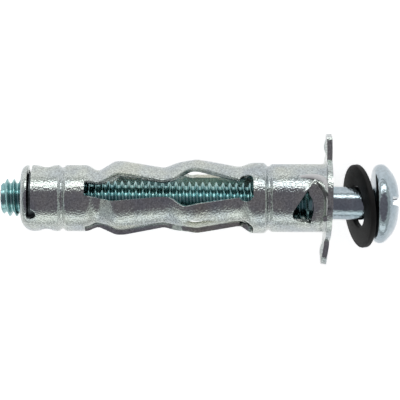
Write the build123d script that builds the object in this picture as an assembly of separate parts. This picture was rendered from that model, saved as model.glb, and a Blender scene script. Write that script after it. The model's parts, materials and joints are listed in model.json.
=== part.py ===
"""Hollow wall anchor, M4 x 32: a folded sheet sleeve, its captive nut, a pan head screw and a washer.

Millimetres. +X runs along the sleeve from its tail to the screw's head, and +Z is up as the anchor
lies. The origin is on the sleeve's axis, in the face of the flange that bears on the wall board.
Angles round the sleeve start at +Z and grow towards +Y.
"""

import os
from math import cos, radians, sin

from build123d import *

# Sheet steel sleeve, pressed and folded from one strip
sleeve_length = 32.0  # front of the flange to the outside of the end plate
sheet = 0.55
barrel_radius = 3.55  # outside, behind the flange
tail_step = 0.1  # the tail is this much smaller than the barrel, in radius

# Flange, and the two ears that bite into the board
flange_width = 0.95  # beyond the barrel
flange_bend = 0.3  # outside radius where the barrel turns into the flange
ear_length = 2.4  # beyond the flange
ear_width = 2.4
ear_corner = 0.6
ear_root = 0.4

# The two openings that let the flange fold outwards
window_angle = 0.0
window_depth = 3.65  # along the barrel, behind the flange
window_half = 2.55
window_skew = 0.5  # the tip lies to one side of the middle
window_shoulder = 0.3  # where its sides are fullest, as a share from tip to flange
window_upper_fullness = 0.62  # how full they are there, as a share of window_half
window_lower_fullness = 0.7
rim_slit = 0.12  # half the slit at the flange's rim
rim_slit_depth = 0.05

# Four legs between four slots, pre-bent so that they fold outwards
leg_count = 4
slot_angle = 32.0
front_length = 7.5  # flange to the slots
tail_length = 6.6  # end plate to the slots
slot_end_half = 0.65
slot_neck_half = 0.95
slot_hump_half = 1.6
slot_fold_half = 1.95
relief_width = 1.6
relief_length = 3.0

# How far the legs' humps stand over the barrel, and how far their necks clear the thread
tail_hump_rise = 0.31
fold_hump_rise = 0.38
collar_rise = 0.13
tail_neck_clearance = 0.45
dip_clearance = 0.63
front_neck_clearance = 0.62

# Where the humps and necks lie
tail_neck_from_tail = 1.2
tail_hump_from_tail = 3.65
dip_from_fold = 2.9
fold_hump_from_front = 6.2
front_neck_from_front = 1.4
collar_length = 1.0

# Rolled beads
bead_depth = 0.3
bead_width = 0.9
tail_bead_from_slots = 2.35
front_bead_from_slots = 1.6

# Folded end plate
plate_hole_clearance = 0.2  # round the thread
plate_rim = 0.7  # how far the plate's rim turns back
plate_gap = 0.35
bridge_angle = -34.0
bridge_half_angle = 18.0
relief_hole_radius = 0.5

# Crimps that keep the nut from turning
crimp_angle = 104.0
crimp_depth = 0.3
crimp_radius = 0.6
crimp_length = 1.6

# Nut
nut_length = 2.85
nut_clearance = 0.05
nut_chamfer = 0.25
flat_clearance = 0.1

# M4 pan head screw
thread_radius = 1.95
shank_undersize = 0.225  # the plain shank's radius under the thread's
tip_beyond_plate = 2.05
shank_length = 6.4
head_stand_off = 5.0  # from the wall face to the underside of the head
tip_chamfer = 0.45
thread_clearance = 0.05  # round the thread in the nut
head_radius = 4.14
head_edge_rounding = 0.42  # outside the flat underside
head_height = 2.65
head_widest = 0.85  # height at which the head is widest
head_bulge = (0.35, 0.72)  # shares of the way up and out to the widest
head_shoulder = (0.78, 0.76)  # shares of the head's height and radius
head_dome_slope = 1.2
shank_fillet = 0.2
slot_width = 0.9
slot_depth = 0.95
cross_width = 1.0
cross_radius = 2.1
cross_depth = 1.9
cross_bottom_radius = 0.6
drive_angle = 20.0
screw_lean = 1.0  # the screw leans this much to -Y, in the play of the sleeve

# Washer, loose on the shank
washer_radius = 4.35
washer_hole_clearance = 0.2  # round the thread
washer_thickness = 0.6
washer_edge = 0.1
washer_from_head = 1.38
washer_drop = 0.28
washer_swing = 13.5
washer_tip = 7.5
washer_swing_angle = 14.0  # the way the washer's near edge faces

# Sizes and places worked out from those above
tail_radius = barrel_radius - tail_step
flange_radius = barrel_radius + flange_width
ear_reach = flange_radius + ear_length
tail_hump_radius = barrel_radius + tail_hump_rise
fold_hump_radius = barrel_radius + fold_hump_rise
collar_radius = barrel_radius + collar_rise
tail_neck_radius = thread_radius + tail_neck_clearance + sheet
dip_radius = thread_radius + dip_clearance + sheet
front_neck_radius = thread_radius + front_neck_clearance + sheet
plate_hole_radius = thread_radius + plate_hole_clearance
washer_hole_radius = thread_radius + washer_hole_clearance
shank_radius = thread_radius - shank_undersize
head_edge_radius = head_radius - head_edge_rounding
plate_outside = sheet - sleeve_length
plate_inside = plate_outside + sheet
screw_length = head_stand_off - plate_outside + tip_beyond_plate  # under the head
slit_start = plate_outside + plate_rim
sleeve_end = slit_start + plate_gap
slots_end = -front_length
slots_start = plate_outside + tail_length
tail_bead = slots_start - tail_bead_from_slots
front_bead = slots_end + front_bead_from_slots
nut_start = plate_inside + nut_clearance
nut_middle = nut_start + nut_length / 2
nut_radius = tail_radius - sheet - nut_clearance
nut_flat = tail_radius - sheet - crimp_depth - flat_clearance
lean = radians(screw_lean)
screw_axis = Vector(cos(lean), -sin(lean), 0)
nut_centre = Vector(nut_middle, 0, 0)
head_seat = nut_centre + screw_axis * ((head_stand_off - nut_middle) / cos(lean))


def around(angle):
    """A placement that turns a shape drawn at +Z round the sleeve's axis."""
    return Location((0, 0, 0), (-angle, 0, 0))


def leg_line(inset):
    """The legs' outline from the tail to the collar, inset from the outside."""
    fold_hump = slots_end - fold_hump_from_front
    places = [
        (slots_start, tail_radius),
        (slots_start + tail_neck_from_tail, tail_neck_radius),
        (slots_start + tail_hump_from_tail, tail_hump_radius),
        (fold_hump - dip_from_fold, dip_radius),
        (fold_hump, fold_hump_radius),
        (slots_end - front_neck_from_front, front_neck_radius),
        (slots_end + collar_length / 4, collar_radius),
    ]
    points = [(x, radius - inset) for x, radius in places]
    return Spline(*points, tangents=[(1, 0)] * len(points))


def bead_line(middle, before, after, inset):
    """One rolled bead: down to its bottom and up again."""
    bottom = (before + after) / 2 - bead_depth
    start = (middle - bead_width / 2, before - inset)
    end = (middle + bead_width / 2, after - inset)
    return Spline(start, (middle, bottom - inset), end, tangents=[(1, 0)] * 3)


def wall_line(inset):
    """One side of the sleeve's wall, from the end plate's hole to the foot of the flange."""
    rim_foot = tail_radius - plate_rim
    face = plate_outside + inset
    tail_side = tail_radius - inset
    foot = barrel_radius + flange_bend
    plate = Line((face, plate_hole_radius), (face, rim_foot))
    rim = CenterArc((slit_start, rim_foot), plate_rim - inset, 90, 90)
    nut_bead = bead_line(tail_bead, tail_radius, tail_radius, inset)
    tail = Line((slit_start, tail_side), nut_bead @ 0)
    legs = leg_line(inset)
    step = Line(nut_bead @ 1, legs @ 0)
    collar_bead = bead_line(front_bead, collar_radius, barrel_radius, inset)
    collar = Line(legs @ 1, collar_bead @ 0)
    barrel = Line(collar_bead @ 1, (-flange_bend, barrel_radius - inset))
    turn = CenterArc((-flange_bend, foot), flange_bend + inset, -90, 90)
    return [plate, rim, tail, nut_bead, step, legs, collar, collar_bead, barrel, turn]


def sleeve_shell():
    """The sleeve's round wall and end plate, before anything is cut from them."""
    outside = wall_line(0)
    inside = wall_line(sheet)
    ends = [Line(outside[0] @ 0, inside[0] @ 0), Line(outside[-1] @ 1, inside[-1] @ 1)]
    section = make_face(outside + inside + ends)
    return revolve(section, Axis.X, 360)


def flange_plate():
    """The flat flange with its two ears, without the openings."""
    foot = barrel_radius + flange_bend
    ear = RectangleRounded(ear_width, 2 * ear_reach, ear_corner)
    outline = Sketch() + Circle(flange_radius) + ear
    roots = [
        v
        for v in outline.vertices()
        if abs(Vector(v.X, v.Y).length - flange_radius) < 0.01
    ]
    outline = fillet(roots, ear_root) - Circle(foot)
    plane = Plane(origin=(0, 0, 0), x_dir=(0, 0, 1), z_dir=(1, 0, 0))
    return extrude(plane * outline, sheet)


def leg_slot():
    """What one slot between two legs takes out, at the top of the sleeve."""
    fold_hump = slots_end - fold_hump_from_front
    places = [
        (slots_start, slot_end_half),
        (slots_start + tail_neck_from_tail, slot_neck_half),
        (slots_start + tail_hump_from_tail, slot_hump_half),
        (fold_hump - dip_from_fold, slot_neck_half),
        (fold_hump, slot_fold_half),
        (slots_end - relief_width, slot_neck_half),
    ]
    upper = Spline(*[(x, half) for x, half in places])
    lower = Spline(*[(x, -half) for x, half in places])
    sides = [Line(upper @ 0, lower @ 0), Line(upper @ 1, lower @ 1)]
    outline = Sketch() + make_face([upper, lower] + sides)
    relief = SlotOverall(relief_length, relief_width, rotation=90)
    outline += Location((slots_end - relief_width / 2, 0)) * relief
    return extrude(outline, 2 * barrel_radius)


def flange_opening():
    """What one relief opening takes out of the barrel and of the flange, at the top."""
    tip = (-window_depth, -window_skew)
    corner = (-flange_bend, window_half)
    other_corner = (-flange_bend, -window_half)
    shoulder_x = window_shoulder * (window_depth - flange_bend) - window_depth
    upper_shoulder = (shoulder_x, window_upper_fullness * window_half)
    lower_shoulder = (shoulder_x, -window_lower_fullness * window_half)
    upper = ThreePointArc(tip, upper_shoulder, corner)
    lower = ThreePointArc(tip, lower_shoulder, other_corner)
    face = make_face([upper, lower, Line(corner, other_corner)])
    opening = extrude(face, 2 * barrel_radius)
    foot_height = (barrel_radius**2 - window_half**2) ** 0.5
    tip_height = flange_radius - rim_slit_depth
    beyond = flange_radius + sheet
    diamond = Polygon(
        (0, window_half),
        (foot_height, window_half),
        (tip_height, rim_slit),
        (beyond, rim_slit),
        (beyond, -rim_slit),
        (tip_height, -rim_slit),
        (foot_height, -window_half),
        (0, -window_half),
        align=None,
    )
    plane = Plane(origin=(-flange_bend, 0, 0), x_dir=(0, 0, 1), z_dir=(1, 0, 0))
    return opening + extrude(plane * diamond, flange_bend + 2 * sheet)


def end_slit():
    """The gap round the end plate, stopped by a round hole at each side of the bridge."""
    inner = tail_radius - 2 * sheet
    ring = Cylinder(
        tail_radius + sheet,
        plate_gap,
        arc_size=360 - 2 * bridge_half_angle,
        align=(Align.CENTER, Align.CENTER, Align.MIN),
    )
    ring -= Cylinder(inner, plate_gap, align=(Align.CENTER, Align.CENTER, Align.MIN))
    ring = Plane(origin=(slit_start, 0, 0), x_dir=(0, 0, 1), z_dir=(1, 0, 0)) * ring
    cut = around(bridge_angle + bridge_half_angle) * ring
    for side in (-1, 1):
        hole = Cylinder(
            relief_hole_radius,
            3 * sheet,
            align=(Align.CENTER, Align.CENTER, Align.MIN),
        )
        hole = Location((sleeve_end, 0, inner)) * hole
        cut += around(bridge_angle + side * bridge_half_angle) * hole
    return cut


def crimp(angle, grow):
    """A dent across the tail, as a bar that is pressed in from outside."""
    bar = Cylinder(
        crimp_radius + grow,
        crimp_length + 2 * grow,
        rotation=(90, 0, 0),
    )
    middle = tail_radius - crimp_depth + crimp_radius
    return around(angle) * (Location((nut_middle + sheet, 0, middle)) * bar)


def sleeve():
    """The whole pressed sleeve, with its slots, openings, end slit and crimps."""
    body = sleeve_shell() + flange_plate()
    for angle in (crimp_angle, crimp_angle + 180):
        inner = Cylinder(tail_radius - sheet / 2, sleeve_length, rotation=(0, 90, 0))
        body += crimp(angle, sheet) & inner
        body -= crimp(angle, 0)
    for step in range(leg_count):
        body -= around(slot_angle + step * 360 / leg_count) * leg_slot()
    for angle in (window_angle, window_angle + 180):
        body -= around(angle) * flange_opening()
    body -= end_slit()
    body.label = "expansion_sleeve"
    return body


def on_screw_axis(shape, along_axis):
    """Places a shape drawn along +X from the origin onto the leaning screw's axis."""
    seat = nut_centre + screw_axis * along_axis
    return Location(tuple(seat), (0, 0, -screw_lean)) * shape


def captive_nut():
    """A round nut with two flats that the crimps hold."""
    nut = Cylinder(nut_radius, nut_length, rotation=(0, 90, 0))
    nut = chamfer(nut.edges().filter_by(GeomType.CIRCLE), nut_chamfer)
    flats = Box(nut_length, 2 * nut_radius, 2 * nut_flat)
    nut &= around(crimp_angle) * flats
    nut -= Cylinder(thread_radius + thread_clearance, nut_length, rotation=(0, 90, 0))
    nut = on_screw_axis(nut, 0)
    nut.label = "captive_nut"
    return nut


def head_blank():
    """The pan head, its underside at the origin and its crown towards +X."""
    edge = (0, head_edge_radius)
    widest = (head_widest, head_radius)
    crown = (head_height, 0)
    up, out = head_bulge
    bulge = (head_widest * up, head_edge_radius + head_edge_rounding * out)
    flank = ThreePointArc(edge, bulge, widest)
    tall, wide = head_shoulder
    shoulder = (head_height * tall, head_radius * wide)
    slopes = [(1, 0), (1, -head_dome_slope), (0, -1)]
    dome = Spline(widest, shoulder, crown, tangents=slopes)
    section = make_face([Line((0, 0), edge), flank, dome, Line(crown, (0, 0))])
    return revolve(section, Axis.X, 360)


def drive_recess():
    """A cross recess with a straight slot through it, cut from the crown."""
    bottom = head_height - cross_depth
    taper = Cone(
        cross_bottom_radius,
        cross_radius,
        cross_depth,
        rotation=(0, 90, 0),
    )
    taper = Location((bottom + cross_depth / 2, 0, 0)) * taper
    wings = Box(2 * cross_depth, 2 * cross_radius, cross_width)
    wings += Box(2 * cross_depth, cross_width, 2 * cross_radius)
    recess = (Location((head_height, 0, 0)) * wings) & taper
    slot = Box(slot_depth, slot_width, 3 * head_radius)
    recess += Location((head_height - slot_depth / 2, 0, 0)) * slot
    return around(drive_angle) * recess


def machine_screw():
    """The pan head on its plain shank, with the thread as a plain rod at its major size."""
    thread_length = screw_length - shank_length
    shank = Cylinder(shank_radius, shank_length + sheet, rotation=(0, 90, 0))
    shank = Location((-(shank_length - sheet) / 2, 0, 0)) * shank
    rod = Cylinder(thread_radius, thread_length, rotation=(0, 90, 0))
    tip = rod.edges().filter_by(GeomType.CIRCLE).sort_by(Axis.X)[0]
    rod = chamfer(tip, tip_chamfer)
    runout = rod.edges().filter_by(GeomType.CIRCLE).sort_by(Axis.X)[-1]
    rod = chamfer(runout, shank_undersize)
    rod = Location((-shank_length - thread_length / 2, 0, 0)) * rod
    screw = head_blank() + shank + rod
    corner = (
        screw.edges()
        .filter_by(GeomType.CIRCLE)
        .filter_by(lambda edge: abs(edge.radius - shank_radius) < 1e-6)
        .sort_by(Axis.X)[-1]
    )
    screw = fillet(corner, shank_fillet)
    screw -= drive_recess()
    screw = on_screw_axis(screw, (head_seat - nut_centre).length)
    screw.label = "machine_screw"
    return screw


def washer():
    """The washer lying square to the origin, its axis along +X."""
    ring = Cylinder(washer_radius, washer_thickness, rotation=(0, 90, 0))
    ring -= Cylinder(washer_hole_radius, washer_thickness, rotation=(0, 90, 0))
    ring = fillet(ring.edges().filter_by(GeomType.CIRCLE), washer_edge)
    return ring


def hung_washer():
    """The washer as it hangs: swung against the head's underside, and dropped to -Y."""
    facing = radians(washer_swing_angle)
    swing_axis = Vector(0, cos(facing), -sin(facing))
    tip_axis = Vector(0, sin(facing), cos(facing))
    ring = washer()
    ring = ring.rotate(Axis((0, 0, 0), tuple(swing_axis)), washer_swing)
    ring = ring.rotate(Axis((0, 0, 0), tuple(tip_axis)), washer_tip)
    ring = Location(tuple(swing_axis * -washer_drop)) * ring
    ring = on_screw_axis(ring, (head_seat - nut_centre).length - washer_from_head)
    ring.label = "washer"
    return ring


def main():
    os.makedirs("parts", exist_ok=True)
    for piece in (sleeve(), captive_nut(), machine_screw(), hung_washer()):
        export_step(piece, f"parts/{piece.label}.step")


main()
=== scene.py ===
import json
import math

import bmesh
import bpy
from mathutils import Matrix, Vector


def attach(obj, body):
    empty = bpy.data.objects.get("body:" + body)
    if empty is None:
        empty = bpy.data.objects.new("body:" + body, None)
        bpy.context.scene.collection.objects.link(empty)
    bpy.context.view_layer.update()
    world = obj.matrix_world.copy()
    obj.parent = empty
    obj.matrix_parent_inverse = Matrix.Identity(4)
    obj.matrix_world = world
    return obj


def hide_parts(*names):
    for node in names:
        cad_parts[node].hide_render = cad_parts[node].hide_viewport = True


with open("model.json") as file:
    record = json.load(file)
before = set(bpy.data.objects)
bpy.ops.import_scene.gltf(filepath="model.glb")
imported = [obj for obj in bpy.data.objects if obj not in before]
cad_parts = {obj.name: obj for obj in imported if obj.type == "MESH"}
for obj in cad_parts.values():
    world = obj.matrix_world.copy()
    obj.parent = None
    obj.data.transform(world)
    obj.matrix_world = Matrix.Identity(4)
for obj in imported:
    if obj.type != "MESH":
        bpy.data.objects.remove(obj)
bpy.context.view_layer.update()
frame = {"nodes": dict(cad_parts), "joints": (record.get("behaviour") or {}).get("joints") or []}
mm = 0.001
print("frame loaded:", sorted(frame["nodes"]))

turnJoint = next(j for j in frame["joints"] if j["name"] == "screw_turn")
screwOrigin = Vector(turnJoint["pos_m"])  # on the screw's axis, in the middle of the nut
screwAxis = Vector(turnJoint["axis"]).normalized()
screwLean = math.atan2(screwAxis.y, screwAxis.x)
screwPlace = Matrix.Translation(screwOrigin) @ Matrix.Rotation(screwLean, 4, "Z")


# small helpers

def smooth(value, low, high):
    t = min(1.0, max(0.0, (value - low) / (high - low)))
    return t * t * (3 - 2 * t)


def lineAt(points, x):
    # straight lines through (x, value) points
    if x <= points[0][0]:
        return points[0][1]
    for (x0, v0), (x1, v1) in zip(points, points[1:]):
        if x <= x1:
            return v0 + (v1 - v0) * (x - x0) / (x1 - x0)
    return points[-1][1]


def roundedLineAt(points, x, bend):
    # the same lines with their corners rounded over a length of bend
    steps = (-1.0, -0.6, -0.2, 0.2, 0.6, 1.0)
    return sum(lineAt(points, x + s * bend / 2) for s in steps) / len(steps)


def deselectAll():
    if bpy.context.object and bpy.context.object.mode != "OBJECT":
        bpy.ops.object.mode_set(mode="OBJECT")
    bpy.ops.object.select_all(action="DESELECT")


def pick(piece):
    deselectAll()
    piece.select_set(True)
    bpy.context.view_layer.objects.active = piece


def applyModifier(piece, kind, settings):
    pick(piece)
    modifier = piece.modifiers.new(kind.title(), kind)
    for key, value in settings.items():
        setattr(modifier, key, value)
    bpy.ops.object.modifier_apply(modifier=modifier.name)


def mergeAndFaceOut(piece, distance):
    pick(piece)
    bpy.ops.object.mode_set(mode="EDIT")
    bpy.ops.mesh.select_all(action="SELECT")
    bpy.ops.mesh.remove_doubles(threshold=distance)
    bpy.ops.mesh.normals_make_consistent(inside=False)
    bpy.ops.object.mode_set(mode="OBJECT")


def settle(piece, place):
    # puts a piece where it belongs and leaves its object at the origin
    piece.matrix_world = place
    pick(piece)
    bpy.ops.object.transform_apply(location=True, rotation=True, scale=True)


def spinProfile(name, profile, steps):
    # a profile of (along the axis, radius) in mm, spun once round X
    deselectAll()
    bpy.ops.mesh.primitive_plane_add(size=mm)
    piece = bpy.context.object
    piece.name = piece.data.name = name
    bm = bmesh.new()
    points = [bm.verts.new((x * mm, 0, radius * mm)) for x, radius in profile]
    for a, b in zip(points, points[1:]):
        bm.edges.new((a, b))
    bm.to_mesh(piece.data)
    bm.free()
    pick(piece)
    bpy.ops.object.mode_set(mode="EDIT")
    bpy.ops.mesh.select_all(action="SELECT")
    bpy.ops.mesh.spin(steps=steps, angle=2 * math.pi, center=(0, 0, 0), axis=(1, 0, 0), dupli=False)
    bpy.ops.object.mode_set(mode="OBJECT")
    mergeAndFaceOut(piece, 0.002 * mm)
    return piece


# materials

def hexColour(text):
    channels = [int(text[i:i + 2], 16) / 255 for i in (1, 3, 5)]
    linear = [c / 12.92 if c <= 0.04045 else ((c + 0.055) / 1.055) ** 2.4 for c in channels]
    return (*linear, 1.0)


def addNode(tree, kind, settings=None, inputs=None):
    # inputs: a value for a socket, or another node's output to link to it
    node = tree.nodes.new(kind)
    for key, value in (settings or {}).items():
        setattr(node, key, value)
    for key, value in (inputs or {}).items():
        if isinstance(value, bpy.types.NodeSocket):
            tree.links.new(value, node.inputs[key])
        else:
            node.inputs[key].default_value = value
    return node


def newMaterial(name):
    material = bpy.data.materials.new(name)
    material.use_nodes = True
    tree = material.node_tree
    tree.nodes.clear()
    surface = addNode(tree, "ShaderNodeBsdfPrincipled")
    output = addNode(tree, "ShaderNodeOutputMaterial")
    tree.links.new(surface.outputs[0], output.inputs[0])
    return material, tree, surface


def perMetre(sizeMm):
    # a noise texture's scale for features of about that size
    return 1000.0 / sizeMm


def platedMetal(name, plate):
    # zinc electroplate on steel: bright, a little cloudy, with the fine grain of the rolled sheet under it
    material, tree, surface = newMaterial(name)
    place = addNode(tree, "ShaderNodeTexCoord").outputs["Object"]
    cloud = addNode(tree, "ShaderNodeTexNoise", None, {"Vector": place, "Scale": perMetre(plate["cloudMm"]), "Detail": 2.0})
    patch = addNode(tree, "ShaderNodeTexNoise", {"noise_dimensions": "4D"}, {
        "Vector": place, "W": 3.0, "Scale": perMetre(plate["tintMm"]), "Detail": 1.0})
    # real grain is finer than this; it is drawn as coarse as it needs to show
    grain = addNode(tree, "ShaderNodeTexNoise", None, {
        "Vector": place, "Scale": perMetre(plate["grainMm"]), "Detail": 1.0, "Roughness": 0.5})
    along = addNode(tree, "ShaderNodeMapping", None, {"Vector": place, "Scale": (0.12, 1.0, 1.0)})
    drawn = addNode(tree, "ShaderNodeTexNoise", None, {
        "Vector": along.outputs[0], "Scale": perMetre(plate["scratchMm"]), "Detail": 2.0})

    cloudShare = addNode(tree, "ShaderNodeMapRange", None, {
        "Value": cloud.outputs["Fac"], "From Min": 0.35, "From Max": 0.65})
    base = addNode(tree, "ShaderNodeMix", {"data_type": "RGBA"}, {
        "Factor": cloudShare.outputs[0], "A": hexColour(plate["colour"]), "B": hexColour(plate["cloudColour"])})
    tintShare = addNode(tree, "ShaderNodeMapRange", None, {
        "Value": patch.outputs["Fac"], "From Min": 0.52, "From Max": 0.72, "To Max": plate["tintAmount"]})
    tinted = addNode(tree, "ShaderNodeMix", {"data_type": "RGBA"}, {
        "Factor": tintShare.outputs[0], "A": base.outputs["Result"], "B": hexColour(plate["tintColour"])})
    speck = addNode(tree, "ShaderNodeMapRange", None, {
        "Value": grain.outputs["Fac"], "From Min": 0.3, "From Max": 0.7, "To Min": plate["speckDark"], "To Max": 1.0})
    speckled = addNode(tree, "ShaderNodeMix", {"data_type": "RGBA", "blend_type": "MULTIPLY"}, {
        "Factor": 1.0, "A": tinted.outputs["Result"], "B": speck.outputs[0]})
    tree.links.new(speckled.outputs["Result"], surface.inputs["Base Color"])
    surface.inputs["Metallic"].default_value = 1.0
    rough = addNode(tree, "ShaderNodeMapRange", None, {
        "Value": grain.outputs["Fac"], "From Min": 0.3, "From Max": 0.7,
        "To Min": plate["roughHigh"], "To Max": plate["roughLow"]})
    tree.links.new(rough.outputs[0], surface.inputs["Roughness"])
    drawnBump = addNode(tree, "ShaderNodeBump", None, {
        "Height": drawn.outputs["Fac"], "Strength": plate["scratchStrength"], "Distance": plate["scratchDepthMm"] * mm})
    grainBump = addNode(tree, "ShaderNodeBump", None, {
        "Height": grain.outputs["Fac"], "Strength": plate["grainStrength"],
        "Distance": plate["grainDepthMm"] * mm, "Normal": drawnBump.outputs[0]})
    tree.links.new(grainBump.outputs[0], surface.inputs["Normal"])
    return material


sheetPlate = {
    "colour": "#c9cfc9", "cloudColour": "#b6bec1", "tintColour": "#cbc6ab", "tintAmount": 0.5,
    "cloudMm": 2.2, "tintMm": 5.0, "grainMm": 0.17, "scratchMm": 0.5, "speckDark": 0.6,
    "roughLow": 0.1, "roughHigh": 0.17, "grainStrength": 1.0, "grainDepthMm": 0.034,
    "scratchStrength": 0.04, "scratchDepthMm": 0.02,
}
threadPlate = {
    "colour": "#98c0c0", "cloudColour": "#7ea9ac", "tintColour": "#aecbc5", "tintAmount": 0.5,
    "cloudMm": 1.2, "tintMm": 3.0, "grainMm": 0.18, "scratchMm": 0.3, "speckDark": 0.85,
    "roughLow": 0.18, "roughHigh": 0.32, "grainStrength": 0.3, "grainDepthMm": 0.02,
    "scratchStrength": 0.15, "scratchDepthMm": 0.01,
}
headPlate = {
    "colour": "#adb9bf", "cloudColour": "#9ba9b1", "tintColour": "#9bb4bb", "tintAmount": 0.5,
    "cloudMm": 2.0, "tintMm": 4.0, "grainMm": 0.24, "scratchMm": 0.4, "speckDark": 0.82,
    "roughLow": 0.1, "roughHigh": 0.18, "grainStrength": 0.7, "grainDepthMm": 0.03,
    "scratchStrength": 0.15, "scratchDepthMm": 0.015,
}
# silver with a faint yellow cast and a fine grain
brightZincSheet = platedMetal("bright zinc plated sheet steel", sheetPlate)
# the passivation is thickest in the thread and looks teal
blueZincThread = platedMetal("blue passivated zinc thread", threadPlate)
# thinner on the head and shank: silver with a cool cast
blueZincScrew = platedMetal("blue passivated zinc screw", headPlate)


def blackCoat(name, coat):
    # black phosphate and oil on steel: nearly black, dull, with a very fine crystal tooth
    material, tree, surface = newMaterial(name)
    place = addNode(tree, "ShaderNodeTexCoord").outputs["Object"]
    tooth = addNode(tree, "ShaderNodeTexNoise", None, {
        "Vector": place, "Scale": perMetre(coat["toothMm"]), "Detail": 4.0, "Roughness": 0.65})
    rub = addNode(tree, "ShaderNodeTexNoise", None, {"Vector": place, "Scale": perMetre(coat["rubMm"]), "Detail": 3.0})
    rubShare = addNode(tree, "ShaderNodeMapRange", None, {"Value": rub.outputs["Fac"], "From Min": 0.4, "From Max": 0.75})
    colour = addNode(tree, "ShaderNodeMix", {"data_type": "RGBA"}, {
        "Factor": rubShare.outputs[0], "A": hexColour(coat["colour"]), "B": hexColour(coat["rubColour"])})
    tree.links.new(colour.outputs["Result"], surface.inputs["Base Color"])
    surface.inputs["Metallic"].default_value = 0.0
    surface.inputs["Specular IOR Level"].default_value = 0.25  # the coat is porous and hardly mirrors
    rough = addNode(tree, "ShaderNodeMapRange", None, {
        "Value": tooth.outputs["Fac"], "From Min": 0.3, "From Max": 0.7,
        "To Min": coat["roughLow"], "To Max": coat["roughHigh"]})
    tree.links.new(rough.outputs[0], surface.inputs["Roughness"])
    bump = addNode(tree, "ShaderNodeBump", None, {
        "Height": tooth.outputs["Fac"], "Strength": coat["toothStrength"], "Distance": coat["toothDepthMm"] * mm})
    tree.links.new(bump.outputs[0], surface.inputs["Normal"])
    return material


washerCoat = {
    "colour": "#090909", "rubColour": "#141312", "toothMm": 0.16, "rubMm": 1.6,
    "roughLow": 0.5, "roughHigh": 0.7, "toothStrength": 0.5, "toothDepthMm": 0.02,
}
blackPhosphate = blackCoat("black phosphated steel", washerCoat)
print("materials made")


# expansion sleeve: one strip of sheet, rolled, slotted and pressed

sleeve = {
    "sheet": 0.55,
    "tailRadius": 3.45, "barrelRadius": 3.55, "collarRadius": 3.68,
    "plateFace": -31.45, "plateHole": 2.15,
    "rim": 0.7, "softRim": 0.55, "softRimAngle": 288.0,  # where the end plate turns in, rounder on one side
    "slitEnd": -30.32,  # slit between the turned rim and the tail
    "bridge": (264.6, 344.0), "reliefHole": 0.5,  # the slit stops in a round hole at each side of the bridge
    "crimps": (104.0, 284.0), "crimpPlace": -28.9,
    "crimpDepth": 0.28, "crimpLength": 0.55, "crimpWidth": 0.95,
    "beads": ((-27.2, 0.9, 0.26), (-5.9, 0.9, 0.28)),  # place, width, depth
    "slotAngle": 32.0,
    "slotStart": -24.85, "slotEnd": -7.5, "legsEnd": -8.95,
    "bend": 0.5,  # how sharply the legs are folded
    # outside radius of the legs from tail to collar, for the leg on each side of the ears
    "legHigh": ((-24.6, 3.45), (-23.55, 2.78), (-21.75, 3.86), (-20.9, 3.86), (-16.65, 3.16),
                (-14.9, 3.86), (-13.3, 4.07), (-8.85, 3.26), (-7.7, 3.68)),
    "legLow": ((-24.6, 3.45), (-23.55, 2.99), (-21.75, 3.84), (-20.9, 3.84), (-16.65, 3.02),
               (-14.9, 3.58), (-13.3, 3.73), (-8.85, 2.88), (-7.7, 3.66)),
    "legHighAngle": 77.0,
    # half the slot's width along its length: the edge towards smaller angles, and the other
    "slotLowEdge": ((-24.85, 0.84), (-23.6, 0.86), (-22.0, 1.52), (-21.2, 1.48), (-16.9, 0.88),
                    (-16.1, 0.98), (-14.9, 2.14), (-14.3, 2.14), (-8.9, 0.98), (-8.0, 0.98)),
    "slotHighEdge": ((-24.85, 0.8), (-23.2, 0.84), (-21.6, 1.62), (-20.6, 1.6), (-16.7, 0.94),
                     (-15.6, 1.1), (-13.9, 2.3), (-12.9, 2.22), (-8.9, 1.06), (-8.0, 1.06)),
    "reliefHalf": 1.5, "reliefRadius": 0.72,  # cross slot at the flange end
    # the two openings that let the flange fold out, at 0 and 180 degrees: edges in degrees from the opening's middle
    "windowTip": -3.5,
    "windowLow": ((-3.5, -19.5), (-3.35, -23.0), (-2.95, -27.5), (-2.4, -31.0), (-1.4, -34.0), (-0.3, -38.0)),
    "windowHigh": ((-3.5, -12.5), (-3.4, -8.5), (-0.3, 45.0)),
    "flangeRadius": 4.5, "flangeBend": 0.3,
    "curl": {"high": 0.9, "low": 0.45, "rise": 0.5, "lip": 0.1},  # the petals' cut edges curl out more softly
    "cheekStart": 0.7, "cheekDip": 0.5,  # the opening's mouth stays closed by sheet that sinks in
    # the rolled lip over each opening, from the barrel to the flange: place, angle, distance from the axis, half width
    "lipPath": ((-3.0, 52, 3.4, 0.1), (-2.3, 53, 3.5, 0.22), (-1.5, 52, 3.62, 0.28), (-0.8, 49, 3.74, 0.3),
                (-0.25, 43, 3.85, 0.3), (0.1, 33, 3.9, 0.3), (0.22, 20, 3.9, 0.3),
                (0.2, 6, 3.9, 0.28), (0.12, -8, 3.85, 0.2), (0.0, -18, 3.8, 0.1)),
    "flangeTilt": 0.02,
    "flangeSlit": (14.0, 1.5),  # half its angle at the neck and at the rim
    "slotToEar": 58.0, "earAngle": 15.5,
    "earHalf": 1.2, "earReach": (6.62, 7.02), "earCorner": (0.45, 1.0), "earLean": (0.06, 0.2), "earRib": 0.3,
    "edgeRounding": 0.15,
    "columns": {"slot": 10, "before": 9, "middle": 8, "after": 9},
}


def legRadius(x, angle):
    high = roundedLineAt(sleeve["legHigh"], x, sleeve["bend"])
    low = roundedLineAt(sleeve["legLow"], x, sleeve["bend"])
    share = 0.5 + 0.5 * math.cos(math.radians(angle - sleeve["legHighAngle"]))
    return low + (high - low) * share


def rimRadius(angle):
    off = (angle - sleeve["softRimAngle"] + 180) % 360 - 180
    return sleeve["rim"] + sleeve["softRim"] * math.exp(-(off / 30) ** 2)


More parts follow.
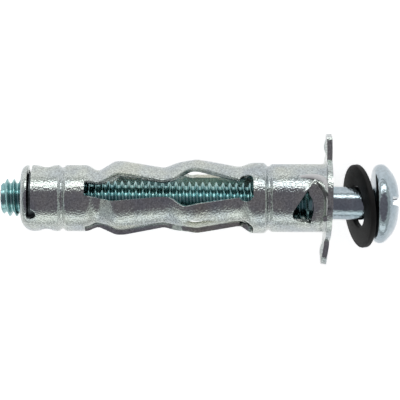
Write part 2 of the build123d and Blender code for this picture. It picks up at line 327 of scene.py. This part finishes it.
def wallRadius(x, angle):
    # outside radius of the rolled wall
    radius = legRadius(x, angle)
    if x > sleeve["slotEnd"]:
        front = smooth(x, -6.5, -5.5)
        radius = sleeve["collarRadius"] + (sleeve["barrelRadius"] - sleeve["collarRadius"]) * front
    if x < sleeve["slotStart"]:
        rim = rimRadius(angle)
        turned = min(rim, max(0.0, sleeve["plateFace"] + rim - x))
        radius = sleeve["tailRadius"] - rim + math.sqrt(rim ** 2 - turned ** 2)
    for place, width, depth in sleeve["beads"]:
        if abs(x - place) < width / 2:
            radius -= depth * (0.5 + 0.5 * math.cos(2 * math.pi * (x - place) / width))
    for crimp in sleeve["crimps"]:
        across = math.radians(angle - crimp) * radius
        along = (x - sleeve["crimpPlace"]) / sleeve["crimpLength"]
        if abs(across) < 3 and abs(along) < 3:
            dent = math.exp(-along ** 2) * smooth(-abs(across), -sleeve["crimpWidth"] - 0.45, -sleeve["crimpWidth"] + 0.2)
            radius -= sleeve["crimpDepth"] * dent
    return radius


def slotEdges(x, radius):
    # degrees from the slot's middle to its two edges
    low = roundedLineAt(sleeve["slotLowEdge"], x, 0.5)
    high = roundedLineAt(sleeve["slotHighEdge"], x, 0.5)
    ends = sleeve["reliefRadius"]
    middle = sleeve["slotEnd"] - ends
    if x > middle - ends:
        bulge = sleeve["reliefHalf"] - ends + math.sqrt(max(0.0, ends ** 2 - (x - middle) ** 2))
        low, high = max(low, bulge), max(high, bulge)
        if x > middle:
            low = high = bulge
    return math.degrees(low / radius), math.degrees(high / radius)


def knotAngles(x, petal):
    # the 17 angles that the mesh's columns follow at one place; petal runs 0 to 2 over the flange
    front = smooth(x, sleeve["slotEnd"], sleeve["windowTip"] + 0.6)
    knots = []
    for leg in range(4):
        slot = sleeve["slotAngle"] + 90 * leg
        nextSlot = slot + 90
        if x < sleeve["slotStart"]:
            radius = sleeve["tailRadius"]
        else:
            radius = legRadius(min(x, sleeve["slotEnd"]), slot)
        low, high = slotEdges(min(max(x, sleeve["slotStart"]), sleeve["slotEnd"]), radius)
        span = (slot + high, nextSlot - low)
        if leg % 2 == 0:  # legs in line with the ears
            ear = slot + sleeve["slotToEar"]
            middle = (span[0] + 0.42 * (span[1] - span[0]), span[0] + 0.75 * (span[1] - span[0]))
            target = (ear - sleeve["earAngle"], ear + sleeve["earAngle"])
            flangeSlot = (slot + 19, slot + 27)
        else:
            window = slot + sleeve["slotToEar"]
            middle = (span[0] + 0.316 * (span[1] - span[0]), span[0] + 0.66 * (span[1] - span[0]))
            lowEdge = lineAt(sleeve["windowLow"], x)
            highEdge = lineAt(sleeve["windowHigh"], x)
            fold = min(petal, 1.0)
            rest = max(0.0, petal - 1.0)
            neck, rimSlit = sleeve["flangeSlit"]
            lowEdge += (-neck - lowEdge) * fold + (neck - rimSlit) * rest
            highEdge += (neck - highEdge) * fold - (neck - rimSlit) * rest
            target = (window + lowEdge, window + highEdge)
            flangeSlot = (slot - 6, slot + 2)
        windowShare = smooth(x, sleeve["slotEnd"], sleeve["windowTip"])
        knots.append(slot - low + (flangeSlot[0] - (slot - low)) * front)
        knots.append(slot + high + (flangeSlot[1] - (slot + high)) * front)
        for a, b in zip(middle, target):
            knots.append(a + (b - a) * windowShare)
    knots.append(knots[0] + 360)
    return knots


def columnAngles(x, petal=0.0):
    counts = sleeve["columns"]
    knots = knotAngles(x, petal)
    angles = []
    for leg in range(4):
        for part, key in enumerate(("slot", "before", "middle", "after")):
            a, b = knots[4 * leg + part], knots[4 * leg + part + 1]
            angles += [a + (b - a) * s / counts[key] for s in range(counts[key])]
    return angles + [knots[-1]]


def slitSides(angle):
    # where the slit round the end plate begins and ends, wider where it stops in its round holes
    start, end = sleeve["plateFace"] + sleeve["rim"], sleeve["slitEnd"]
    for stop in sleeve["bridge"]:
        across = abs(math.radians((angle - stop + 180) % 360 - 180) * sleeve["tailRadius"])
        if across < sleeve["reliefHole"]:
            reach = math.sqrt(sleeve["reliefHole"] ** 2 - across ** 2)
            start, end = min(start, sleeve["slitEnd"] - reach), max(end, sleeve["slitEnd"] + reach)
    return start, end


def spread(low, high, count):
    return [low + (high - low) * i / count for i in range(1, count + 1)]


def sleeveRows():
    # the rows of the sheet from the end plate's hole to the flange's rim, as (kind, value)
    rows = [("plate", 0.0), ("plate", 0.5)]
    rows += [("rim", i / 7) for i in range(8)]
    rows += [("tail", i / 14) for i in range(15)]
    (tailBead, tailWidth, _), (frontBead, frontWidth, _) = sleeve["beads"]
    tailStart, tailEnd = tailBead - tailWidth / 2, tailBead + tailWidth / 2
    frontStart, frontEnd = frontBead - frontWidth / 2, frontBead + frontWidth / 2
    middle = sleeve["slotEnd"] - sleeve["reliefRadius"]
    rows += [("wall", x) for x in spread(tailStart, tailEnd, 10)]
    rows += [("wall", x) for x in spread(tailEnd, sleeve["slotStart"], 7)]
    rows += [("wall", x) for x in spread(sleeve["slotStart"], sleeve["legsEnd"], 66)]
    rows += [("wall", middle - sleeve["reliefRadius"] * math.cos(math.pi * i / 12)) for i in range(1, 13)]
    rows += [("wall", x) for x in spread(sleeve["slotEnd"], frontStart, 5)]
    rows += [("wall", x) for x in spread(frontStart, frontEnd, 10)]
    rows += [("wall", x) for x in spread(frontEnd, sleeve["windowTip"], 8)]
    rows += [("window", t) for t in spread(0, 1, 16)]
    rows += [("fold", t) for t in spread(0, 1, 7)]
    rows += [("flange", t) for t in spread(0, 1, 4)]
    rows += [("ear", t) for t in spread(0, 1, 10)]
    return rows


def sleevePoint(kind, value, angle, knots):
    # one point of the sheet's outside face, in mm
    rim = rimRadius(angle)
    rimFoot = sleeve["tailRadius"] - rim
    slitStart, slitEnd = slitSides(angle)
    turned = math.acos(min(1.0, (sleeve["plateFace"] + rim - slitStart) / rim))
    if kind == "plate":
        return sleeve["plateFace"], sleeve["plateHole"] + (rimFoot - sleeve["plateHole"]) * value
    if kind == "rim":
        bow = turned * value
        return sleeve["plateFace"] + rim * (1 - math.cos(bow)), rimFoot + rim * math.sin(bow)
    if kind == "tail":
        place, width, _ = sleeve["beads"][0]
        x = slitEnd + (place - width / 2 - slitEnd) * value
        return x, wallRadius(x, angle)
    if kind == "wall":
        return value, wallRadius(value, angle)
    low = min(abs((angle - edge + 180) % 360 - 180) for edge in (knots[6], knots[14]))
    high = min(abs((angle - edge + 180) % 360 - 180) for edge in (knots[7], knots[15]))
    curl = sleeve["curl"]
    nearHigh, nearLow = math.exp(-(high / 15) ** 2), math.exp(-(low / 13) ** 2)
    foldLong = sleeve["flangeBend"] + curl["high"] * nearHigh + curl["low"] * nearLow
    foldHigh = sleeve["flangeBend"] + curl["rise"] * max(nearHigh, nearLow)
    lip = curl["lip"] * nearHigh
    sink = 0.0
    for start, end in ((knots[6], knots[7]), (knots[14], knots[15])):
        share = ((angle - start) % 360) / (end - start)
        if share < 1:
            sink = sleeve["cheekDip"] * math.sqrt(math.sin(math.pi * share))
    if kind == "window":
        x = sleeve["windowTip"] + (-foldLong - sleeve["windowTip"]) * value
        return x, wallRadius(x, angle) + lip * smooth(x, -3.0, -foldLong) - sink
    foldHigh -= lip
    if kind == "fold":
        bow = math.pi / 2 * value
        radius = sleeve["barrelRadius"] + lip + foldHigh * (1 - math.cos(bow)) - sink * (1 - value)
        return -foldLong + foldLong * math.sin(bow), radius
    foot = sleeve["barrelRadius"] + lip + foldHigh
    return 0.0, foot + (sleeve["flangeRadius"] - foot) * (value if kind == "flange" else 1.0)


def earPoint(value, angle):
    # an ear's sides are parallel, its tip is rounded, and it leans back a little with a shallow pressed rib
    side = 0 if angle < 180 else 1
    middle = 90.0 + 180 * side
    half, reach, corner = sleeve["earHalf"], sleeve["earReach"][side], sleeve["earCorner"][side]
    across = (angle - middle) / sleeve["earAngle"]
    base = math.sqrt(sleeve["flangeRadius"] ** 2 - (half * across) ** 2)
    offset = max(0.0, abs(across) * half - (half - corner))
    tip = reach - corner + math.sqrt(max(0.0, corner ** 2 - offset ** 2))
    out = base + (tip - base) * value
    lean = sleeve["earLean"][side] * value ** 2
    rib = sleeve["earRib"] * smooth(-abs(across), -0.8, -0.1) * math.sin(math.pi * min(1.0, value * 1.1))
    turn = math.radians(middle)
    aside = across * half
    return -lean - rib, out * math.sin(turn) + aside * math.cos(turn), out * math.cos(turn) - aside * math.sin(turn)


def makeSleeve():
    rows = sleeveRows()
    counts = sleeve["columns"]
    across = 4 * sum(counts.values())
    deselectAll()
    bpy.ops.mesh.primitive_grid_add(x_subdivisions=across, y_subdivisions=len(rows) - 1, size=0.03)
    piece = bpy.context.object
    piece.name = piece.data.name = "expansionSleeve"
    points = piece.data.vertices
    edge = across + 1
    for i, (kind, value) in enumerate(rows):
        if kind == "wall":
            x, petal = value, 0.0
        elif kind == "window":
            x, petal = sleeve["windowTip"] + (-0.3 - sleeve["windowTip"]) * value, 0.0
        elif kind in ("plate", "rim", "tail"):
            x, petal = -28.0, 0.0
        else:
            x, petal = -0.3, {"fold": value, "flange": 1 + value, "ear": 2.0}[kind]
        knots = knotAngles(x, petal)
        for j, angle in enumerate(columnAngles(x, petal)):
            if kind == "ear":
                part = (angle - 90.0 + sleeve["earAngle"]) % 180
                onEar = part <= 2 * sleeve["earAngle"] + 0.001 or abs(part - 180) < 0.001
                spot = earPoint(value, angle) if onEar else (0, 0, 0)
            else:
                x, radius = sleevePoint(kind, value, angle, knots)
                turn = math.radians(angle)
                spot = (x, radius * math.sin(turn), radius * math.cos(turn))
            lean = {"fold": value, "flange": 1.0, "ear": 1.0}.get(kind, 0.0) * sleeve["flangeTilt"]
            points[i * edge + j].co = Vector((spot[0] + lean * spot[1], spot[1], spot[2])) * mm
    # what the press cuts away: the slots, the openings, the slit, and all beyond the rim but the ears
    bounds, total = [], 0
    for leg in range(4):
        for key in ("slot", "before", "middle", "after"):
            bounds.append((total, total + counts[key]))
            total += counts[key]
    slots = [bounds[4 * leg] for leg in range(4)]
    ears = [bounds[2], bounds[10]]
    windows = [bounds[6], bounds[14]]
    bridge = bounds[11:14]

    def inside(ranges, j):
        return any(a <= j < b for a, b in ranges)

    for face in piece.data.polygons:
        face.select = False
    for edgeItem in piece.data.edges:
        edgeItem.select = False
    for point in points:
        point.select = False
    for face in piece.data.polygons:
        i = min(v // edge for v in face.vertices)
        j = min(v % edge for v in face.vertices)
        (kind, value), (nextKind, nextValue) = rows[i], rows[i + 1]
        gone = False
        alongSlot = sleeve["slotStart"] - 0.001 <= value and nextValue <= sleeve["slotEnd"] + 0.001
        if kind == "wall" and nextKind == "wall" and alongSlot:
            gone = inside(slots, j)
        if nextKind == "flange" or (nextKind == "window" and nextValue < sleeve["cheekStart"]):
            gone = inside(windows, j)
        if kind == "rim" and nextKind == "tail":
            gone = not inside(bridge, j)
        if nextKind == "ear":
            gone = not inside(ears, j)
        face.select = gone
    pick(piece)
    bpy.ops.object.mode_set(mode="EDIT")
    bpy.ops.mesh.select_mode(type="FACE")
    bpy.ops.mesh.delete(type="FACE")
    bpy.ops.mesh.select_mode(type="VERT")
    bpy.ops.object.mode_set(mode="OBJECT")
    mergeAndFaceOut(piece, 0.002 * mm)
    return piece


def thicken(piece):
    # positive when the legs' normals point away from the axis
    legs = [face for face in piece.data.polygons if -0.025 < face.center.x < -0.006]
    outward = sum(face.normal.dot(Vector((0, face.center.y, face.center.z)).normalized()) * face.area for face in legs)
    if outward < 0:
        pick(piece)
        bpy.ops.object.mode_set(mode="EDIT")
        bpy.ops.mesh.select_all(action="SELECT")
        bpy.ops.mesh.flip_normals()
        bpy.ops.object.mode_set(mode="OBJECT")
    applyModifier(piece, "SOLIDIFY", {
        "thickness": sleeve["sheet"] * mm, "offset": -1.0, "use_even_offset": False, "use_quality_normals": True})
    # the bevel's faces along the cut edges take the second material, which is a painted highlight
    applyModifier(piece, "BEVEL", {
        "width": sleeve["edgeRounding"] * mm, "segments": 2, "limit_method": "ANGLE", "angle_limit": math.radians(50),
        "material": 1})


def addLips(piece):
    # a round bead along each lip's path, thinning out at both ends
    lips = []
    for turned in (0, 180):
        deselectAll()
        bpy.ops.curve.primitive_nurbs_path_add(radius=mm)
        lip = bpy.context.object
        lip.data.bevel_depth = mm
        lip.data.bevel_resolution = 5
        lip.data.resolution_u = 6
        lip.data.use_fill_caps = True
        line = lip.data.splines[0]
        line.points.add(len(sleeve["lipPath"]) - len(line.points))
        for point, (x, angle, out, half) in zip(line.points, sleeve["lipPath"]):
            turn = math.radians(angle + turned)
            point.co = (x * mm, out * math.sin(turn) * mm, out * math.cos(turn) * mm, 1.0)
            point.radius = half
        bpy.ops.object.convert(target="MESH")
        mergeAndFaceOut(lip, 0.002 * mm)
        lips.append(lip)
    pick(piece)
    for lip in lips:
        lip.select_set(True)
    bpy.ops.object.join()


# a lighter copy of the sheet's plating: painted highlight on the cut edges
edgeHighlightPlate = dict(sheetPlate, colour="#fdfffd", cloudColour="#f4f6f6", tintAmount=0.1, speckDark=0.92,
                 roughLow=0.55, roughHigh=0.65, grainStrength=0.3)
paintedHighlightEdge = platedMetal("sheet edge with painted highlight", edgeHighlightPlate)  # the cut edges are painted near white, a painted highlight where they would catch the light
expansionSleeve = makeSleeve()
expansionSleeve.data.materials.append(brightZincSheet)
expansionSleeve.data.materials.append(paintedHighlightEdge)
thicken(expansionSleeve)
addLips(expansionSleeve)
pick(expansionSleeve)
bpy.ops.object.shade_smooth_by_angle(angle=math.radians(40))
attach(expansionSleeve, "sleeve")
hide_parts("expansion_sleeve")
print("sleeve made:", len(expansionSleeve.data.polygons), "faces")


# captive nut: carried over from the CAD, seen only through the slit and the slots

# the nut's plating is painted much darker than the sheet's: painted shade for the hollow inside the sleeve
nutPaintedShadePlate = dict(sheetPlate, colour="#6a7174", cloudColour="#585f62", tintAmount=0.1, roughLow=0.35, roughHigh=0.5)
nutPaintedShadeZinc = platedMetal("zinc plated nut with painted shade", nutPaintedShadePlate)  # its colour is darkened to paint the shade inside the sleeve
nutNode = frame["nodes"]["captive_nut"]
nutNode.data.materials.clear()
nutNode.data.materials.append(nutPaintedShadeZinc)


# screw

screw = {
    "tip": -4.0875, "seat": 34.43,  # along its axis from the middle of the nut, in mm
    "pitch": 0.7, "crest": 1.95, "root": 1.5, "shankRadius": 1.725, "shankLength": 6.4,
    "tipChamfer": 0.45, "runout": 0.9, "stepsPerTurn": 40,
    # head profile from its underside: height, radius
    "head": ((0.0, 1.95), (0.0, 3.45), (0.04, 3.68), (0.16, 3.86), (0.36, 4.02), (0.6, 4.11),
             (0.85, 4.14), (1.1, 4.08), (1.4, 3.87), (1.7, 3.53), (1.98, 3.2), (2.2, 2.83),
             (2.38, 2.42), (2.5, 2.0), (2.58, 1.5), (2.63, 0.9), (2.65, 0.0)),
    "slotWidth": 0.9, "slotDepth": 0.95,
    "crossWidth": 1.0, "crossRadius": 2.1, "crossDepth": 1.9, "crossFoot": 0.6,
    "driveAngle": 20.0,
}


def makeThread():
    # one turn of the thread's outline, wound along the axis by the screw modifier, then cut to length
    pitch, crest, root = screw["pitch"], screw["crest"], screw["root"]
    outline = ((0, root), (0.085, root + 0.025), (0.3, crest - 0.02), (0.35, crest),
               (0.4, crest - 0.02), (0.615, root + 0.025), (pitch, root))
    length = screw["seat"] - screw["shankLength"] - screw["tip"]
    deselectAll()
    bpy.ops.mesh.primitive_plane_add(size=mm)
    piece = bpy.context.object
    piece.name = piece.data.name = "screwThread"
    start = screw["tip"] - 1.5 * pitch
    bm = bmesh.new()
    points = [bm.verts.new(((start + x) * mm, 0, radius * mm)) for x, radius in outline]
    for a, b in zip(points, points[1:]):
        bm.edges.new((a, b))
    bm.to_mesh(piece.data)
    bm.free()
    applyModifier(piece, "SCREW", {
        "axis": "X", "angle": 2 * math.pi, "screw_offset": pitch * mm, "iterations": int(length / pitch) + 3,
        "steps": screw["stepsPerTurn"], "render_steps": screw["stepsPerTurn"],
        "use_merge_vertices": True, "merge_threshold": 0.002 * mm,
    })
    mergeAndFaceOut(piece, 0.004 * mm)
    runoutEnd = screw["seat"] - screw["shankLength"]
    for place, normal in ((screw["tip"], (-1, 0, 0)), (runoutEnd + 0.2, (1, 0, 0))):
        pick(piece)
        bpy.ops.object.mode_set(mode="EDIT")
        bpy.ops.mesh.select_all(action="SELECT")
        bpy.ops.mesh.bisect(plane_co=(place * mm, 0, 0), plane_no=normal, use_fill=True, clear_outer=True)
        bpy.ops.object.mode_set(mode="OBJECT")
    for point in piece.data.vertices:
        x = point.co.x / mm
        radius = math.hypot(point.co.y, point.co.z) / mm
        limit = screw["crest"] - screw["tipChamfer"] + (x - screw["tip"])
        wanted = min(radius, limit)
        fade = smooth(x, runoutEnd - screw["runout"], runoutEnd)
        wanted += (screw["shankRadius"] - 0.02 - wanted) * fade
        if radius > 0.01:
            point.co.y *= wanted / radius
            point.co.z *= wanted / radius
    return piece


def makeHead():
    seat = screw["seat"]
    shankStart = seat - screw["shankLength"]
    shank = screw["shankRadius"]
    profile = [(shankStart - 0.05, 0.0), (shankStart - 0.05, shank - 0.06),
               (shankStart, shank - 0.01), (shankStart + 0.1, shank)]
    profile += [(x, shank) for x in spread(shankStart + 0.1, seat - 0.25, 5)]
    profile += [(seat - 0.12, shank + 0.03), (seat - 0.03, shank + 0.12)]  # the fillet under the head
    profile += [(seat + x, radius) for x, radius in screw["head"]]
    return spinProfile("screwHead", profile, 96)


def cutRecess(piece):
    # a cross with tapering wings, and a straight slot right across
    crown = screw["seat"] + screw["head"][-1][0]
    deselectAll()
    bpy.ops.mesh.primitive_cube_add(size=1, location=((crown - screw["slotDepth"] / 2 + 0.5) * mm, 0, 0))
    slotCutter = bpy.context.object
    slotCutter.scale = ((screw["slotDepth"] + 1.0) * mm, screw["slotWidth"] * mm, 12 * mm)
    pick(slotCutter)
    bpy.ops.object.transform_apply(location=True, rotation=True, scale=True)
    cutters = [slotCutter]
    for turn in (0, 90):
        bpy.ops.mesh.primitive_cube_add(size=1)
        wing = bpy.context.object
        for point in wing.data.vertices:
            bottom = point.co.x < 0
            half = screw["crossFoot"] if bottom else screw["crossRadius"] * 1.25
            width = screw["crossWidth"] * (0.36 if bottom else 0.56)
            level = crown - screw["crossDepth"] if bottom else crown + 0.47
            point.co = Vector((level, math.copysign(width, point.co.y), math.copysign(half, point.co.z))) * mm
        wing.matrix_world = Matrix.Rotation(math.radians(turn), 4, "X")
        pick(wing)
        bpy.ops.object.transform_apply(location=True, rotation=True, scale=True)
        cutters.append(wing)
    for cutter in cutters:
        settle(cutter, Matrix.Rotation(math.radians(-screw["driveAngle"]), 4, "X"))
        applyModifier(piece, "BOOLEAN", {"operation": "DIFFERENCE", "object": cutter, "solver": "EXACT"})
        bpy.data.objects.remove(cutter)
    mergeAndFaceOut(piece, 0.003 * mm)
    applyModifier(piece, "BEVEL", {
        "width": 0.06 * mm, "segments": 2, "limit_method": "ANGLE", "angle_limit": math.radians(38)})


machineScrew = makeHead()
cutRecess(machineScrew)
machineScrew.data.materials.append(blueZincScrew)
screwThread = makeThread()
screwThread.data.materials.append(blueZincThread)
for piece in (machineScrew, screwThread):
    settle(piece, screwPlace)
    pick(piece)
    bpy.ops.object.shade_smooth_by_angle(angle=math.radians(45))
    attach(piece, "screw")
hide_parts("machine_screw")
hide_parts("machine_screw")
print("screw made:", len(machineScrew.data.polygons), "+", len(screwThread.data.polygons), "faces")


# washer, hanging loose on the shank

washer = {
    "radius": 4.35, "hole": 2.15, "thickness": 0.6, "edge": 0.14,
    "fromHead": 1.38, "drop": 0.28, "swing": 13.5, "tip": 7.5, "facing": 14.0,
}


def makeWasher():
    half, edge = washer["thickness"] / 2, washer["edge"]
    outer, inner = washer["radius"], washer["hole"]
    corner = [(math.sin(math.radians(a)), math.cos(math.radians(a))) for a in (0, 30, 60, 90)]
    profile = [(-half, inner + edge), (-half, (inner + outer) / 2)]
    profile += [(-half + edge * (1 - c), outer - edge * (1 - s)) for s, c in corner]
    profile += [(half - edge * (1 - s), outer - edge * (1 - c)) for s, c in corner]
    profile += [(half, (inner + outer) / 2)]
    profile += [(half - edge * (1 - c), inner + edge * (1 - s)) for s, c in corner]
    profile += [(-half + edge * (1 - s), inner + edge * (1 - c)) for s, c in corner]
    return spinProfile("washerRing", profile, 96)


washerRing = makeWasher()
facing = math.radians(washer["facing"])
swingAxis = Vector((0, math.cos(facing), -math.sin(facing)))
tipAxis = Vector((0, math.sin(facing), math.cos(facing)))
hang = Matrix.Translation(Vector(((screw["seat"] - washer["fromHead"]) * mm, 0, 0)))
hang = hang @ Matrix.Translation(swingAxis * -washer["drop"] * mm)
hang = hang @ Matrix.Rotation(math.radians(washer["tip"]), 4, tipAxis)
hang = hang @ Matrix.Rotation(math.radians(washer["swing"]), 4, swingAxis)
settle(washerRing, screwPlace @ hang)
washerRing.data.materials.append(blackPhosphate)
pick(washerRing)
bpy.ops.object.shade_smooth_by_angle(angle=math.radians(40))
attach(washerRing, "washer")
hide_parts("washer")
print("washer made")


# floor, light and camera

stage = {
    "floorHeight": -4.52, "floorColour": "#f7f7f7",
    "floorGlow": 0.66,
    "skyLight": (0.62, 0.655, 0.64, 1), "skyDark": (0.228, 0.207, 0.236, 1), "horizon": (0.7, 0.715, 0.71, 1),
    "darkLean": 4.0, "darkReach": (0.7, 0.745),  # the unlit part of the room above the object
    "keyLean": 62.0, "keyWatts": 0.28, "fillLean": -62.0, "fillWatts": 0.12,
    "viewLean": 14.0, "viewDistance": 180.6, "viewAlong": -12.97, "viewUp": -0.21, "lens": 156.3,
}

deselectAll()
bpy.ops.mesh.primitive_plane_add(size=3.0, location=(0, 0, stage["floorHeight"] * mm))
floor = bpy.context.object
floor.name = "floor"
bpy.ops.object.transform_apply(location=True, rotation=True, scale=True)
paper, tree, surface = newMaterial("white paper sweep")
surface.inputs["Base Color"].default_value = hexColour(stage["floorColour"])
surface.inputs["Roughness"].default_value = 0.9
surface.inputs["Specular IOR Level"].default_value = 0.1
# the paper is lit a little from behind for whatever looks straight at it, and keeps its shadow
path = addNode(tree, "ShaderNodeLightPath")
seen = addNode(tree, "ShaderNodeMath", {"operation": "MAXIMUM"}, {
    0: path.outputs["Is Camera Ray"], 1: path.outputs["Is Glossy Ray"]})
seen = addNode(tree, "ShaderNodeMath", {"operation": "MAXIMUM"}, {
    0: seen.outputs[0], 1: path.outputs["Is Transmission Ray"]})
glow = addNode(tree, "ShaderNodeMath", {"operation": "MULTIPLY"}, {0: seen.outputs[0], 1: stage["floorGlow"]})
surface.inputs["Emission Color"].default_value = (1, 1, 1, 1)
tree.links.new(glow.outputs[0], surface.inputs["Emission Strength"])
floor.data.materials.append(paper)

world = bpy.data.worlds.new("soft studio")
bpy.context.scene.world = world
world.use_nodes = True
tree = world.node_tree
tree.nodes.clear()
direction = addNode(tree, "ShaderNodeTexCoord").outputs["Generated"]
squeezed = addNode(tree, "ShaderNodeVectorMath", {"operation": "MULTIPLY"}, {0: direction, 1: (0.55, 1.0, 1.0)})
unit = addNode(tree, "ShaderNodeVectorMath", {"operation": "NORMALIZE"}, {0: squeezed.outputs[0]})
darkLean = math.radians(stage["darkLean"])
towards = addNode(tree, "ShaderNodeVectorMath", {"operation": "DOT_PRODUCT"}, {
    0: unit.outputs[0], 1: (0, math.sin(darkLean), math.cos(darkLean))})
level = addNode(tree, "ShaderNodeMapRange", {"interpolation_type": "SMOOTHSTEP"}, {
    "Value": towards.outputs["Value"], "From Min": stage["darkReach"][0], "From Max": stage["darkReach"][1],
    "To Min": 0.0, "To Max": 1.0})
room = addNode(tree, "ShaderNodeMix", {"data_type": "RGBA"}, {
    "Factor": level.outputs[0], "A": stage["skyLight"], "B": stage["skyDark"]})
height = addNode(tree, "ShaderNodeSeparateXYZ", None, {0: direction})
low = addNode(tree, "ShaderNodeMath", {"operation": "ABSOLUTE"}, {0: height.outputs["Z"]})
wall = addNode(tree, "ShaderNodeMapRange", {"interpolation_type": "SMOOTHSTEP"}, {
    "Value": low.outputs[0], "From Min": 0.08, "From Max": 0.3, "To Min": 1.0, "To Max": 0.0})
walled = addNode(tree, "ShaderNodeMix", {"data_type": "RGBA"}, {
    "Factor": wall.outputs[0], "A": room.outputs["Result"], "B": stage["horizon"]})
sky = addNode(tree, "ShaderNodeBackground", None, {"Color": walled.outputs["Result"], "Strength": 1.0})
addNode(tree, "ShaderNodeOutputWorld", None, {0: sky.outputs[0]})


def addLamp(name, lean, watts, size, distance):
    # a soft box across the object, leaning from straight overhead towards +Y
    lamp = bpy.data.lights.new(name, "AREA")
    lamp.shape = "RECTANGLE"
    lamp.size, lamp.size_y = size
    lamp.energy = watts
    holder = bpy.data.objects.new(name, lamp)
    bpy.context.scene.collection.objects.link(holder)
    turn = math.radians(lean)
    holder.location = Vector((-0.012, math.sin(turn) * distance, math.cos(turn) * distance))
    holder.rotation_euler = (-turn, 0, 0)
    return holder


addLamp("keySoftBox", stage["keyLean"], stage["keyWatts"], (0.4, 0.09), 0.3)
addLamp("fillSoftBox", stage["fillLean"], stage["fillWatts"], (0.4, 0.12), 0.3)

cameraData = bpy.data.cameras.new("camera")
cameraData.sensor_width = 36
cameraData.lens = stage["lens"]
cameraData.clip_start = 0.001
camera = bpy.data.objects.new("camera", cameraData)
bpy.context.scene.collection.objects.link(camera)
viewLean = math.radians(stage["viewLean"])
towardsCamera = Vector((0, math.sin(viewLean), math.cos(viewLean)))
upInView = Vector((0, math.cos(viewLean), -math.sin(viewLean)))
aim = Vector((stage["viewAlong"], 0, 0)) + upInView * stage["viewUp"]
camera.location = (aim + towardsCamera * stage["viewDistance"]) * mm
camera.rotation_euler = (-viewLean, 0, 0)
bpy.context.scene.camera = camera
bpy.context.scene.view_settings.view_transform = "Standard"
print("stage set")
